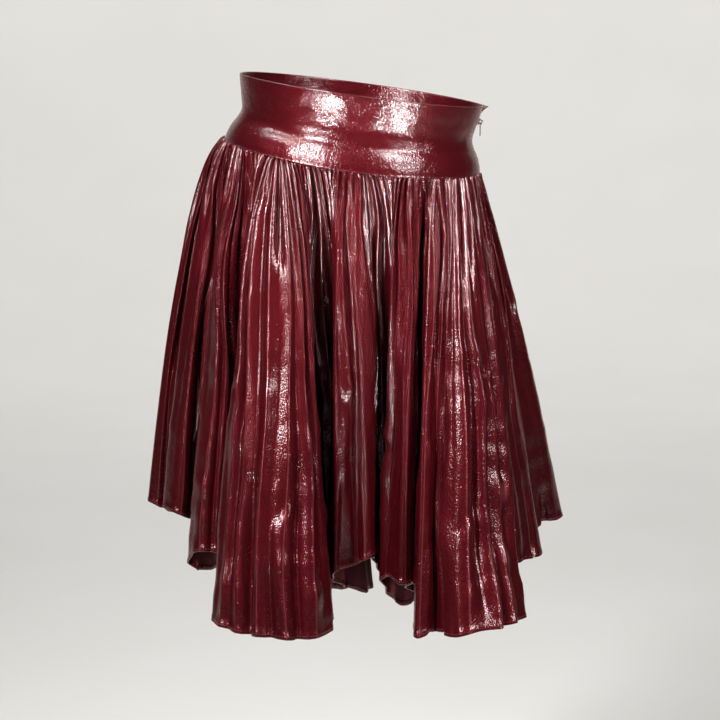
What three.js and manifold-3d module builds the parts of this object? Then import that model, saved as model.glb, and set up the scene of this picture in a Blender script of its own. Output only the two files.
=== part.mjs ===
// Pleated skirt with a wide shaped waistband, in the hollow form and pose that it is worn in.
//
// Millimetres. +Z is up, -Y is the front and +X is the right of somebody who looks at the front.
// The origin is the centre of the waist, the narrowest ring of the band, which holds the skirt up.
// Angles run around the body in degrees: 0 is centre front, 90 the right side, 180 centre back.

import * as THREE from 'three';
import { mergeVertices } from 'three/addons/utils/BufferGeometryUtils.js';
import Module from 'manifold-3d';

// Shared clearances and cloth thicknesses
const SEAM_GAP = 0.3;          // between two pieces that are sewn together
const BAND_WALL = 2.2;         // interfaced band: two layers of coated cloth
const SKIRT_WALL = 1.0;        // one layer of coated cloth with its backing
const HEM_WALL = 1.8;          // the hem is turned up, so it is thicker
const HEM_HEIGHT = 6;          // height of the turned-up hem
const HEM_STEP = 1.5;          // height over which the wall thickens to the hem
const PANEL_LENGTH = 450;      // a panel's usual length, which the hem's height is a share of

// The side seams
const LEFT_SIDE = -90;
const RIGHT_SIDE = 90;

// Waistband, in a frame of its own that is tilted with the hips: z is 0 at the waist
const BAND_TILT = 7.7;         // the band sits lower on the right side
const BAND_WAIST = 36;         // the waist lies this far below the top edge
const BAND_FRONT_DIP = 0.09;   // the band is this share taller at centre front and back
const BAND_HEIGHT = 71;        // from its top edge to the seam, at the sides
const BAND_COLUMNS = 30;       // facets across half of the band

// One row for each ring of the band: depth below the top edge, and half the ring's width and depth
const BAND_RINGS = [
  { drop: 0, halfWidth: 129.0, halfDepth: 98.5 },
  { drop: 10, halfWidth: 127.2, halfDepth: 97.0 },
  { drop: 22, halfWidth: 124.6, halfDepth: 95.0 },
  { drop: 36, halfWidth: 122.0, halfDepth: 93.5 },
  { drop: 46, halfWidth: 125.6, halfDepth: 96.0 },
  { drop: 51, halfWidth: 128.8, halfDepth: 99.0 },
  { drop: 58, halfWidth: 132.2, halfDepth: 102.0 },
  { drop: 66, halfWidth: 134.4, halfDepth: 103.8 },
  { drop: BAND_HEIGHT, halfWidth: 134.5, halfDepth: 103.6 },
];

const BAND_WAIST_ROW = 3;      // the narrowest ring

// The corner of the back half that stands away from the body beside the open top of the zip
const CORNER_FLARE = 6;
const CORNER_HEIGHT = 10;
const CORNER_LENGTH = 14;

// Pleats: straight knife pleats that run from the seam to the hem
const FRONT_PLEATS = 78;
const BACK_PLEATS = 68;
const PLEAT_DEPTHS = [
  { down: 0.00, depth: 2.0 },
  { down: 0.12, depth: 3.2 },
  { down: 0.40, depth: 4.2 },
  { down: 1.00, depth: 4.8 },
];
const FLATTEN_TURN = 75;       // a pleat opens flat where the cloth turns by this angle in one step

// Rings of the skirt panels, as shares of the way from the seam to the top of the hem
const SKIRT_RINGS = [0, 0.04, 0.13, 0.28, 0.48, 0.73, 1];

// Deep folds of the hem, in order around the body. Each row is one flute:
// seamEnd: the angle of the seam where the flute ends, and the next one starts
// flare: how soon it springs out under the band; the smaller, the sooner
// hem: the x, y and z of its way along the hem, from the valley that it starts in
const FRONT_FLUTES = [
  {
    name: 'left side', seamEnd: -81, flare: 0.46,
    hem: [[-161, 44, -440], [-172, 31, -434], [-214, 34, -416], [-227, 18, -412]],
  },
  {
    name: 'left hip', seamEnd: -72, flare: 0.5,
    hem: [[-176, 2, -426], [-206, -22, -409], [-193, -50, -408]],
  },
  {
    name: 'left front', seamEnd: -53.6, flare: 0.58,
    hem: [[-158, -32, -424], [-130, -24, -446], [-150, -50, -468], [-175, -68, -458],
      [-168, -90, -440], [-150, -98, -440], [-126, -66, -460]],
  },
  {
    name: 'wide front left', seamEnd: -19.2, flare: 0.62,
    hem: [[-110, -56, -470], [-106, -74, -478], [-126, -106, -490], [-149, -136, -500],
      [-134, -162, -503], [-91, -190, -505], [-47, -182, -506], [-27, -146, -502], [-38, -100, -494]],
  },
  {
    name: 'centre', seamEnd: 7.6, flare: 0.7,
    hem: [[-42, -58, -490], [-14, -44, -490], [16, -50, -490], [9, -64, -492], [-18, -77, -480],
      [-23, -112, -457], [3, -94, -452], [8, -112, -444], [21, -102, -441], [19, -68, -456]],
  },
  {
    name: 'right of centre', seamEnd: 35, flare: 0.66,
    hem: [[28, -46, -478], [57, -43, -492], [62, -56, -500], [48, -67, -507], [34, -78, -494],
      [32, -102, -466], [45, -133, -465], [58, -124, -464], [55, -96, -480]],
  },
  {
    name: 'narrow front right', seamEnd: 41, flare: 0.7,
    hem: [[61, -72, -490], [69, -100, -500], [67, -126, -508], [58, -150, -511],
      [61, -167, -512], [70, -162, -511]],
  },
  {
    name: 'wide front right', seamEnd: 70, flare: 0.78,
    hem: [[79, -148, -510], [88, -158, -509], [99, -183, -506], [126, -179, -502],
      [152, -155, -502], [172, -118, -502]],
  },
  {
    name: 'right hip', seamEnd: 80, flare: 0.84,
    hem: [[138, -72, -470], [170, -80, -457], [184, -61, -456], [198, -34, -455]],
  },
  {
    name: 'right side', seamEnd: 90, flare: 0.86,
    hem: [[154, -16, -450], [198, 0, -436], [224, 22, -429], [208, 38, -432], [174, 33, -440]],
  },
];
const BACK_FLUTES = [
  {
    name: 'right side back', seamEnd: 103, flare: 0.84,
    hem: [[162, 44, -446], [173, 56, -440], [212, 62, -431], [199, 86, -434]],
  },
  {
    name: 'right hip back', seamEnd: 121, flare: 0.8,
    hem: [[142, 62, -452], [178, 108, -466], [163, 140, -478], [128, 84, -474]],
  },
  {
    name: 'wide back right', seamEnd: 158, flare: 0.75,
    hem: [[106, 66, -474], [98, 82, -480], [118, 120, -492], [137, 158, -500], [112, 188, -504],
      [74, 192, -505], [50, 158, -501], [56, 110, -494]],
  },
  {
    name: 'centre back right', seamEnd: 180, flare: 0.72,
    hem: [[48, 66, -486], [28, 62, -476], [18, 82, -474], [31, 118, -462], [18, 146, -458]],
  },
  {
    name: 'centre back left', seamEnd: 202, flare: 0.7,
    hem: [[-1, 108, -460], [-17, 146, -458], [-33, 120, -462], [-20, 80, -474], [-30, 60, -480]],
  },
  {
    name: 'wide back left', seamEnd: 239, flare: 0.66,
    hem: [[-52, 64, -486], [-60, 108, -494], [-52, 160, -501], [-80, 194, -505], [-118, 186, -503],
      [-141, 152, -500], [-122, 112, -488], [-98, 84, -476]],
  },
  {
    name: 'left hip back', seamEnd: 257, flare: 0.58,
    hem: [[-104, 64, -474], [-126, 78, -474], [-166, 138, -474], [-182, 108, -462]],
  },
  {
    name: 'left side back', seamEnd: 270, flare: 0.46,
    hem: [[-144, 60, -452], [-200, 88, -436], [-214, 62, -428], [-172, 57, -434]],
  },
];

// Tape of the concealed zip in the right side seam
const TAPE_WALL = 1;
const TAPE_TOP = 4;            // below the band's top edge
const TAPE_SKIRT_RINGS = [0.02, 0.08, 0.16, 0.24];   // shares of the way down the skirt
const TAPE_SKIRT_INSET = 4.5;  // clear of the pleats' inner edges

// Slider and pull: across is along the band, out is away from it, up is along the slider
const SLIDER_DROP = 17;        // below the band's top edge
const SLIDER = { across: 4, up: 7, out: 1 };
const BAIL = { across: 1.2, out: 4.2, low: -2.3, high: 2.6, bar: 1, round: 0.9 };
const PIVOT = { out: 2.1, up: -0.55 };
const PULL_BAR = { diameter: 0.8, sides: 12, inRail: 0.45 };
const PULL = { across: 3.8, out: 0.9, railTop: 0.3, railAcross: 0.85, railLength: 4.2, length: 14 };
const ROUND_SEGMENTS = 4;

// Materials: one coated cloth, its tape and the zip's metal
const CLOTH = { color: 0x6e1423, roughness: 0.3, metalness: 0 };
const TAPE = { color: 0x4a1620, roughness: 0.8, metalness: 0 };
const METAL = { color: 0x3a1016, roughness: 0.35, metalness: 0.8 };

const MERGE_DISTANCE = 1e-4;
const radians = THREE.MathUtils.degToRad;
const bandToBody = new THREE.Matrix4().makeRotationY(radians(BAND_TILT));

// A value from a table's column at a place along another column, straight between its rows
function lookUp(rows, along, column, value) {
  const last = rows.length - 1;
  const next = rows.findIndex((row, i) => i > 0 && (value <= row[along] || i === last));
  const low = rows[next - 1];
  const high = rows[next];
  const share = (value - low[along]) / (high[along] - low[along]);
  return THREE.MathUtils.lerp(low[column], high[column], share);
}

// How far the back half's top corner stands out, at an angle and a depth below the top edge
function cornerFlare(angle, drop) {
  if (angle <= RIGHT_SIDE || drop >= CORNER_HEIGHT) {
    return 0;
  }
  const arc = radians(angle - RIGHT_SIDE) * BAND_RINGS[0].halfDepth;
  return CORNER_FLARE * Math.exp(-arc / CORNER_LENGTH) * (1 - drop / CORNER_HEIGHT) ** 2;
}

// A point of the band, moved in from its outer face
function bandPoint(angle, drop, inwards) {
  const halfWidth = lookUp(BAND_RINGS, 'drop', 'halfWidth', drop);
  const halfDepth = lookUp(BAND_RINGS, 'drop', 'halfDepth', drop);
  const turn = radians(angle);
  const outwards = new THREE.Vector2(Math.sin(turn) / halfWidth, -Math.cos(turn) / halfDepth).normalize();
  const out = cornerFlare(angle, drop) - inwards;
  const taller = 1 + BAND_FRONT_DIP * Math.cos(turn) ** 2;
  return new THREE.Vector3(
    halfWidth * Math.sin(turn) + outwards.x * out,
    -halfDepth * Math.cos(turn) + outwards.y * out,
    BAND_WAIST - drop * taller,
  ).applyMatrix4(bandToBody);
}

// A closed wall from a grid of rings, each a list of { outer, inner } points, top ring first
function wallGeometry(rings) {
  const columns = rings[0].length;
  const positions = [];
  for (const ring of rings) {
    for (const { outer, inner } of ring) {
      positions.push(...outer.toArray(), ...inner.toArray());
    }
  }
  const outer = (ring, column) => 2 * (ring * columns + column);
  const inner = (ring, column) => outer(ring, column) + 1;
  const index = [];
  const quad = (a, b, c, d) => index.push(a, b, c, a, c, d);
  const bottom = rings.length - 1;
  const end = columns - 1;
  for (let r = 0; r < bottom; r += 1) {
    for (let c = 0; c < end; c += 1) {
      quad(outer(r, c), outer(r + 1, c), outer(r + 1, c + 1), outer(r, c + 1));
      quad(inner(r, c), inner(r, c + 1), inner(r + 1, c + 1), inner(r + 1, c));
    }
    quad(outer(r, 0), inner(r, 0), inner(r + 1, 0), outer(r + 1, 0));
    quad(outer(r, end), outer(r + 1, end), inner(r + 1, end), inner(r, end));
  }
  for (let c = 0; c < end; c += 1) {
    quad(outer(0, c), outer(0, c + 1), inner(0, c + 1), inner(0, c));
    quad(outer(bottom, c), inner(bottom, c), inner(bottom, c + 1), outer(bottom, c + 1));
  }
  const geometry = new THREE.BufferGeometry();
  geometry.setAttribute('position', new THREE.Float32BufferAttribute(positions, 3));
  geometry.setIndex(index);
  return geometry;
}

// Half of the waistband, from one side seam to the other
function bandHalf(fromSeam, toSeam) {
  const halfGap = THREE.MathUtils.radToDeg(SEAM_GAP / 2 / BAND_RINGS[BAND_WAIST_ROW].halfDepth);
  return wallGeometry(BAND_RINGS.map(({ drop }) => {
    const ring = [];
    for (let column = 0; column <= BAND_COLUMNS; column += 1) {
      const share = column / BAND_COLUMNS;
      const angle = THREE.MathUtils.lerp(fromSeam + halfGap, toSeam - halfGap, share);
      ring.push({ outer: bandPoint(angle, drop, 0), inner: bandPoint(angle, drop, BAND_WALL) });
    }
    return ring;
  }));
}

// Half a seam gap, into the piece, on the first and last column of a panel
function endShift(column, last) {
  if (column === 0) {
    return SEAM_GAP / 2;
  }
  return column === last ? -SEAM_GAP / 2 : 0;
}

// The hem as one smooth closed curve, with the seam's angle and the flare at each of its knots
function hemOutline() {
  const points = [];
  const knots = [];
  const flutes = [...FRONT_FLUTES, ...BACK_FLUTES];
  let seamStart = LEFT_SIDE;
  flutes.forEach((flute, row) => {
    const flareEnd = flutes[(row + 1) % flutes.length].flare;
    flute.hem.forEach((point, i) => {
      const share = i / flute.hem.length;
      points.push(new THREE.Vector3(...point));
      knots.push({
        angle: THREE.MathUtils.lerp(seamStart, flute.seamEnd, share),
        flare: THREE.MathUtils.lerp(flute.flare, flareEnd, share),
      });
    });
    seamStart = flute.seamEnd;
  });
  knots.push({ angle: seamStart, flare: knots[0].flare });
  return { curve: new THREE.CatmullRomCurve3(points, true, 'centripetal'), knots };
}

const hem = hemOutline();
const HEM_KNOTS = hem.knots.length - 1;
const SIDE_KNOT = FRONT_FLUTES.reduce((sum, flute) => sum + flute.hem.length, 0);

// Places along the hem between two knots, in equal steps of length
function equalPlaces(firstKnot, lastKnot, steps) {
  const samples = 40;
  const count = (lastKnot - firstKnot) * samples;
  const places = [];
  const lengths = [0];
  for (let i = 0; i <= count; i += 1) {
    places.push((firstKnot + i / samples) / HEM_KNOTS);
    if (i > 0) {
      const here = hem.curve.getPoint(places[i]);
      lengths.push(lengths[i - 1] + here.distanceTo(hem.curve.getPoint(places[i - 1])));
    }
  }
  const found = [];
  let i = 0;
  for (let step = 0; step <= steps; step += 1) {
    const wanted = (lengths[count] * step) / steps;
    while (i < count - 1 && lengths[i + 1] < wanted) {
      i += 1;
    }
    const share = (wanted - lengths[i]) / (lengths[i + 1] - lengths[i]);
    found.push(THREE.MathUtils.lerp(places[i], places[i + 1], share));
  }
  return found;
}

// The middle of the cloth at a place along the hem and a share of the way down, without pleats
function clothPoint(place, down) {
  const around = ((place % 1) + 1) % 1;
  const knot = Math.min(around * HEM_KNOTS, HEM_KNOTS - 1e-9);
  const low = hem.knots[Math.floor(knot)];
  const high = hem.knots[Math.floor(knot) + 1];
  const share = knot - Math.floor(knot);
  const angle = THREE.MathUtils.lerp(low.angle, high.angle, share);
  const flare = down ** THREE.MathUtils.lerp(low.flare, high.flare, share);
  const seam = bandPoint(angle, BAND_HEIGHT, BAND_WALL / 2);
  const edge = hem.curve.getPoint(around);
  return new THREE.Vector3(
    THREE.MathUtils.lerp(seam.x, edge.x, flare),
    THREE.MathUtils.lerp(seam.y, edge.y, flare),
    THREE.MathUtils.lerp(seam.z - SEAM_GAP, edge.z, down),
  );
}

// The rings of a skirt panel: shares of the way down, with the wall at each
function panelRings() {
  const hemTop = 1 - HEM_HEIGHT / PANEL_LENGTH;
  const stepEnd = hemTop + HEM_STEP / PANEL_LENGTH;
  const rings = SKIRT_RINGS.map((share) => ({ down: share * hemTop, wall: SKIRT_WALL }));
  rings.push({ down: stepEnd, wall: HEM_WALL }, { down: 1, wall: HEM_WALL });
  return rings;
}

// One ring of a panel: its columns are the outer and inner edges of the pleats in turn
function pleatedRing(places, down, wall) {
  const last = places.length - 1;
  const spacing = places[1] - places[0];
  const around = (column) => {
    const inside = THREE.MathUtils.clamp(column, 0, last);
    return clothPoint(places[inside] + (column - inside) * spacing, down);
  };
  const depth = lookUp(PLEAT_DEPTHS, 'down', 'depth', down);
  return places.map((place, column) => {
    const middle = around(column);
    const before = middle.clone().sub(around(column - 1)).setZ(0);
    const after = around(column + 1).sub(middle).setZ(0);
    const along = before.clone().add(after).normalize();
    const out = new THREE.Vector3(along.y, -along.x, 0);
    const turn = before.angleTo(after) / radians(FLATTEN_TURN);
    const kept = Math.max(0, 1 - turn) * depth;
    const slant = Math.hypot(1, kept / after.length());
    const pleat = column % 2 === 1 ? kept / 2 : -kept / 2;
    const edge = middle.addScaledVector(along, endShift(column, last));
    return {
      outer: edge.clone().addScaledVector(out, pleat + (slant * wall) / 2),
      inner: edge.clone().addScaledVector(out, pleat - (slant * wall) / 2),
    };
  });
}

// One pleated panel, between two knots of the hem
function skirtPanel(firstKnot, lastKnot, pleats) {
  const places = equalPlaces(firstKnot, lastKnot, 2 * pleats);
  return wallGeometry(panelRings().map(({ down, wall }) => pleatedRing(places, down, wall)));
}

// The tape of the zip: a strip inside the band, and then inside the top of the skirt's side seam.
// It is two of the band's facets wide, and lies against them.
function zipTape() {
  const facet = 180 / BAND_COLUMNS;
  const inBand = BAND_WALL + SEAM_GAP;
  const rings = BAND_RINGS.map(({ drop }) => [-1, 0, 1].map((side) => {
    const angle = RIGHT_SIDE + side * facet;
    const depth = Math.max(drop, TAPE_TOP);
    return {
      outer: bandPoint(angle, depth, inBand),
      inner: bandPoint(angle, depth, inBand + TAPE_WALL),
    };
  }));
  const halfWidth = radians(facet) * BAND_RINGS[0].halfDepth;
  for (const down of TAPE_SKIRT_RINGS) {
    const middle = clothPoint(SIDE_KNOT / HEM_KNOTS, down);
    rings.push([-1, 0, 1].map((side) => {
      const outer = new THREE.Vector3(middle.x - TAPE_SKIRT_INSET, middle.y + side * halfWidth, middle.z);
      return { outer, inner: outer.clone().setX(outer.x - TAPE_WALL) };
    }));
  }
  return wallGeometry(rings);
}

// A rectangle with round corners, as a path or a shape to draw on
function roundedOutline(outline, left, bottom, right, top, radius) {
  outline.absarc(right - radius, top - radius, radius, 0, Math.PI / 2);
  outline.absarc(left + radius, top - radius, radius, Math.PI / 2, Math.PI);
  outline.absarc(left + radius, bottom + radius, radius, Math.PI, 1.5 * Math.PI);
  outline.absarc(right - radius, bottom + radius, radius, 1.5 * Math.PI, 2 * Math.PI);
  return outline;
}

// A flat piece: its shape's x and y are laid along two directions, and its thickness is centred
function flatPiece(shape, thickness, xAxis, yAxis) {
  const options = { depth: thickness, bevelEnabled: false, curveSegments: ROUND_SEGMENTS };
  const geometry = new THREE.ExtrudeGeometry(shape, options).translate(0, 0, -thickness / 2);
  const zAxis = new THREE.Vector3().crossVectors(xAxis, yAxis);
  return geometry.applyMatrix4(new THREE.Matrix4().makeBasis(xAxis, yAxis, zAxis));
}

const wasm = await Module();
wasm.setup();

function toSolid(geometry) {
  const bare = geometry.clone();
  bare.deleteAttribute('normal');
  bare.deleteAttribute('uv');
  const merged = mergeVertices(bare, MERGE_DISTANCE);
  return new wasm.Manifold(new wasm.Mesh({
    numProp: 3,
    vertProperties: merged.attributes.position.array,
    triVerts: new Uint32Array(merged.index.array),
  }));
}

// Two overlapping pieces fused into one
function fuse(one, other) {
  const mesh = toSolid(one).add(toSolid(other)).getMesh();
  const geometry = new THREE.BufferGeometry();
  geometry.setAttribute('position', new THREE.Float32BufferAttribute(mesh.vertProperties, 3));
  geometry.setIndex(Array.from(mesh.triVerts));
  return geometry;
}

const OUT = new THREE.Vector3(1, 0, 0);
const ACROSS = new THREE.Vector3(0, 1, 0);
const UP = new THREE.Vector3(0, 0, 1);

// The slider's front plate, with the upright loop that its pull hangs in
function zipSlider() {
  const body = new THREE.BoxGeometry(SLIDER.out, SLIDER.across, SLIDER.up);
  body.translate(SLIDER.out / 2, 0, 0);
  const { low, high, bar, round } = BAIL;
  const loop = roundedOutline(new THREE.Shape(), SLIDER.out / 2, low, BAIL.out, high, round);
  const eye = [SLIDER.out, low + bar, BAIL.out - bar, high - bar];
  loop.holes.push(roundedOutline(new THREE.Path(), ...eye, round / 2));
  return fuse(body, flatPiece(loop, BAIL.across, OUT, UP));
}

// The pull tab: two rails on a crossbar that turns in the loop, then a plate that tapers down
function zipPull() {
  const { across, out, railTop, railAcross, railLength, length } = PULL;
  const side = across / 2;
  const inside = side - railAcross;
  const tip = side * 0.8;
  const shape = new THREE.Shape();
  shape.moveTo(side, railTop);
  shape.lineTo(inside, railTop);
  shape.lineTo(inside, -railLength);
  shape.lineTo(-inside, -railLength);
  shape.lineTo(-inside, railTop);
  shape.lineTo(-side, railTop);
  shape.lineTo(-tip, tip - length);
  shape.absarc(0, tip - length, tip, Math.PI, 2 * Math.PI);
  const barLength = 2 * (inside + PULL_BAR.inRail);
  const radius = PULL_BAR.diameter / 2;
  const crossbar = new THREE.CylinderGeometry(radius, radius, barLength, PULL_BAR.sides);
  return fuse(flatPiece(shape, out, ACROSS, UP), crossbar);
}

// Sets the slider on the band's sloping face, and hangs the pull upright from its pivot
function placeZip(slider, pull) {
  const above = lookUp(BAND_RINGS, 'drop', 'halfWidth', SLIDER_DROP - SLIDER.up / 2);
  const below = lookUp(BAND_RINGS, 'drop', 'halfWidth', SLIDER_DROP + SLIDER.up / 2);
  slider.rotation.y = radians(BAND_TILT) + Math.atan2(above - below, SLIDER.up);
  slider.position.copy(bandPoint(RIGHT_SIDE, SLIDER_DROP, -SEAM_GAP));
  slider.updateMatrix();
  pull.position.set(PIVOT.out, 0, PIVOT.up).applyMatrix4(slider.matrix);
}

const skirt = new THREE.Group();

function addPiece(name, geometry, finish) {
  const mesh = new THREE.Mesh(geometry, new THREE.MeshStandardMaterial(finish));
  mesh.name = name;
  skirt.add(mesh);
  return mesh;
}

addPiece('waistband_front', bandHalf(LEFT_SIDE, RIGHT_SIDE), CLOTH);
addPiece('waistband_back', bandHalf(RIGHT_SIDE, LEFT_SIDE + 360), CLOTH);
addPiece('skirt_front', skirtPanel(0, SIDE_KNOT, FRONT_PLEATS), CLOTH);
addPiece('skirt_back', skirtPanel(SIDE_KNOT, HEM_KNOTS, BACK_PLEATS), CLOTH);
addPiece('zip_tape', zipTape(), TAPE);
placeZip(addPiece('zip_slider', zipSlider(), METAL), addPiece('zip_pull', zipPull(), METAL));

export default skirt;
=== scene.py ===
# %% [markdown]
# # A pleated skirt in wet-look cloth
#
# This skirt is a wide shaped band over two panels of finely pleated cloth. The cloth is a knit
# with a glossy coating, and the pleats hang in deep flutes to an uneven hem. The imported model
# gives the solids, and this script dresses them: it makes finer cloth on the same form, the
# sewing, and the finish of each surface.
#
# Everything is in metres, +Z is up, -Y is the front, and the origin is the centre of the waist.

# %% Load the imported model
import math

import bpy
import numpy as np
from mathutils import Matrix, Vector


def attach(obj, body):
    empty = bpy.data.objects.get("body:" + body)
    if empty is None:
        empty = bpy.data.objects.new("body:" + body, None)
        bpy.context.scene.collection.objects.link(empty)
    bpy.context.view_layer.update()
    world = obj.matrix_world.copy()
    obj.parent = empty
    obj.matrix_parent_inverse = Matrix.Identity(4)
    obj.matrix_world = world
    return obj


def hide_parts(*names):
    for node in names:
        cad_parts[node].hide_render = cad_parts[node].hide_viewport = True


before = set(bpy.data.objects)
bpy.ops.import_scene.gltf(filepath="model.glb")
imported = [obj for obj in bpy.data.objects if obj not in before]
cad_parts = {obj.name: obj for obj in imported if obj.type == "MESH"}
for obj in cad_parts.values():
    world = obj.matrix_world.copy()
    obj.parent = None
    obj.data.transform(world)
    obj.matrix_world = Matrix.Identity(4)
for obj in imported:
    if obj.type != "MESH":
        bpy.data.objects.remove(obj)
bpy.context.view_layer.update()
scene = bpy.context.scene
print("nodes:", ", ".join(sorted(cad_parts)))

# %% [markdown]
# ## The camera
#
# The photograph was taken with a long lens, a little above the band, so the front edge of the
# band bows down and the hem shows from slightly above. The camera stands there.

# %% The camera
MM = 0.001
LENS_MM = 127
SENSOR_MM = 36
CAMERA_PLACE = (0.003, -2.67, 0.23)
CAMERA_PITCH_DEG = 10.25


def linked(name, data):
    """An object for a camera, mesh or lamp, in the scene."""
    thing = bpy.data.objects.new(name, data)
    scene.collection.objects.link(thing)
    return thing


camera = linked("camera", bpy.data.cameras.new("camera"))
camera.data.lens = LENS_MM
camera.data.sensor_width = SENSOR_MM
camera.location = CAMERA_PLACE
camera.rotation_euler = (math.radians(90 - CAMERA_PITCH_DEG), 0, 0)
scene.camera = camera
print("camera:", LENS_MM, "mm lens at", CAMERA_PLACE)

# %% [markdown]
# ## The band's form
#
# The waistband is cut in curves, so that it nips in at the waist and opens over the hips. Each
# row of the table is one ring of it: how far it lies below the top edge, and half of its width
# and depth. A smooth curve through the rows gives every height between them. The last 25 mm
# stand out softly, because the seam allowances of band and skirt lie behind them.

# %% The band's rings
BAND_TILT_DEG = 7.7
BAND_WAIST = 36
BAND_HEIGHT = 71
BAND_FRONT_DIP = 0.09
BAND_WALL = 2.2
SEAM_GAP = 0.3
CORNER_FLARE = 6
CORNER_HEIGHT = 10
CORNER_LENGTH = 14

# below the top edge, half width, half depth, all in mm
BAND_RINGS = np.array([
    (0, 129.0, 98.5),
    (10, 127.2, 97.0),
    (22, 124.6, 95.0),
    (36, 122.0, 93.5),
    (46, 125.6, 96.0),
    (51, 128.8, 99.0),
    (58, 132.2, 102.0),
    (66, 134.4, 103.8),
    (BAND_HEIGHT, 134.5, 103.6),
])


def smooth_through(knots, values, where):
    """A smooth curve through a table's values that never overshoots between its rows."""
    knots, values = np.asarray(knots, float), np.asarray(values, float)
    slopes = np.diff(values) / np.diff(knots)
    same_way = slopes[:-1] * slopes[1:] > 0
    slope_sums = np.where(same_way, slopes[:-1] + slopes[1:], 1)
    middle = np.where(same_way, 2 * slopes[:-1] * slopes[1:] / slope_sums, 0)
    tangents = np.concatenate([slopes[:1], middle, slopes[-1:]])
    low = np.clip(np.searchsorted(knots, where, side="right") - 1, 0, len(knots) - 2)
    width = knots[low + 1] - knots[low]
    t = (where - knots[low]) / width
    return (
        (1 + 2 * t) * (1 - t) ** 2 * values[low]
        + t * (1 - t) ** 2 * width * tangents[low]
        + t * t * (3 - 2 * t) * values[low + 1]
        + t * t * (t - 1) * width * tangents[low + 1]
    )


def corner_flare(angle_deg, drop):
    """How far the back half's top corner stands out, beside the open top of the zip."""
    arc = np.radians(angle_deg - 90) * BAND_RINGS[0, 2]
    low_share = np.clip(1 - drop / CORNER_HEIGHT, 0, 1)
    return np.where(angle_deg > 90, CORNER_FLARE * np.exp(-arc / CORNER_LENGTH) * low_share**2, 0)


def band_points(angle_deg, drop, inwards):
    """Points of the band in mm, at angles from centre front and depths below the top edge."""
    half_width = smooth_through(BAND_RINGS[:, 0], BAND_RINGS[:, 1], drop)
    half_depth = smooth_through(BAND_RINGS[:, 0], BAND_RINGS[:, 2], drop)
    turn = np.radians(angle_deg)
    nx, ny = np.sin(turn) / half_width, -np.cos(turn) / half_depth
    out = (corner_flare(angle_deg, drop) - inwards) / np.hypot(nx, ny)
    x = half_width * np.sin(turn) + nx * out
    y = -half_depth * np.cos(turn) + ny * out
    z = BAND_WAIST - drop * (1 + BAND_FRONT_DIP * np.cos(turn) ** 2)
    tilt = math.radians(BAND_TILT_DEG)
    return np.stack(
        [x * math.cos(tilt) + z * math.sin(tilt), y, z * math.cos(tilt) - x * math.sin(tilt)], axis=-1
    )


print("band:", BAND_HEIGHT, "mm deep at the sides, tilted", BAND_TILT_DEG, "degrees")

# %% [markdown]
# ## The skirt's flutes
#
# A skirt cut wider at the hem than at the waist falls in flutes: tubes of cloth with deep
# valleys between them. Where each one falls is chance, so they are listed one by one, as a
# table. Each row is one flute. It gives the angle of the seam where the flute ends, how soon it
# springs out below the band, and the way that its hem takes, in mm. The hem dips and climbs,
# because the panels are cut longer at their four corners.

# %% The table of flutes
# name, angle of the seam where it ends, flare, way of the hem
FLUTES = [
    ("left side", -81, 0.46, [(-161, 44, -440), (-172, 31, -434), (-214, 34, -416), (-227, 18, -412)]),
    ("left hip", -72, 0.5, [(-176, 2, -426), (-206, -22, -409), (-193, -50, -408)]),
    ("left front", -53.6, 0.58, [(-158, -32, -424), (-130, -24, -446), (-150, -50, -468),
        (-175, -68, -458), (-168, -90, -440), (-150, -98, -440), (-126, -66, -460)]),
    ("wide front left", -19.2, 0.62, [(-110, -56, -470), (-106, -74, -478), (-126, -106, -490),
        (-149, -136, -500), (-134, -162, -503), (-91, -190, -505), (-47, -182, -506),
        (-27, -146, -502), (-38, -100, -494)]),
    ("centre", 7.6, 0.7, [(-42, -58, -490), (-14, -44, -490), (16, -50, -490), (9, -64, -492),
        (-18, -77, -480), (-23, -112, -457), (3, -94, -452), (8, -112, -444), (21, -102, -441),
        (19, -68, -456)]),
    ("right of centre", 35, 0.66, [(28, -46, -478), (57, -43, -492), (62, -56, -500),
        (48, -67, -507), (34, -78, -494), (32, -102, -466), (45, -133, -465), (58, -124, -464),
        (55, -96, -480)]),
    ("narrow front right", 41, 0.7, [(61, -72, -490), (69, -100, -500), (67, -126, -508),
        (58, -150, -511), (61, -167, -512), (70, -162, -511)]),
    ("wide front right", 70, 0.78, [(79, -148, -510), (88, -158, -509), (99, -183, -506),
        (126, -179, -502), (152, -155, -502), (172, -118, -502)]),
    ("right hip", 80, 0.84, [(138, -72, -470), (170, -80, -457), (184, -61, -456), (198, -34, -455)]),
    ("right side", 90, 0.86, [(154, -16, -450), (198, 0, -436), (224, 22, -429), (208, 38, -432),
        (174, 33, -440)]),
    ("right side back", 103, 0.84, [(162, 44, -446), (173, 56, -440), (212, 62, -431),
        (199, 86, -434)]),
    ("right hip back", 121, 0.8, [(142, 62, -452), (178, 108, -466), (163, 140, -478),
        (128, 84, -474)]),
    ("wide back right", 158, 0.75, [(106, 66, -474), (98, 82, -480), (118, 120, -492),
        (137, 158, -500), (112, 188, -504), (74, 192, -505), (50, 158, -501), (56, 110, -494)]),
    ("centre back right", 180, 0.72, [(48, 66, -486), (28, 62, -476), (18, 82, -474),
        (31, 118, -462), (18, 146, -458)]),
    ("centre back left", 202, 0.7, [(-1, 108, -460), (-17, 146, -458), (-33, 120, -462),
        (-20, 80, -474), (-30, 60, -480)]),
    ("wide back left", 239, 0.66, [(-52, 64, -486), (-60, 108, -494), (-52, 160, -501),
        (-80, 194, -505), (-118, 186, -503), (-141, 152, -500), (-122, 112, -488), (-98, 84, -476)]),
    ("left hip back", 257, 0.58, [(-104, 64, -474), (-126, 78, -474), (-166, 138, -474),
        (-182, 108, -462)]),
    ("left side back", 270, 0.46, [(-144, 60, -452), (-200, 88, -436), (-214, 62, -428),
        (-172, 57, -434)]),
]
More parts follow.
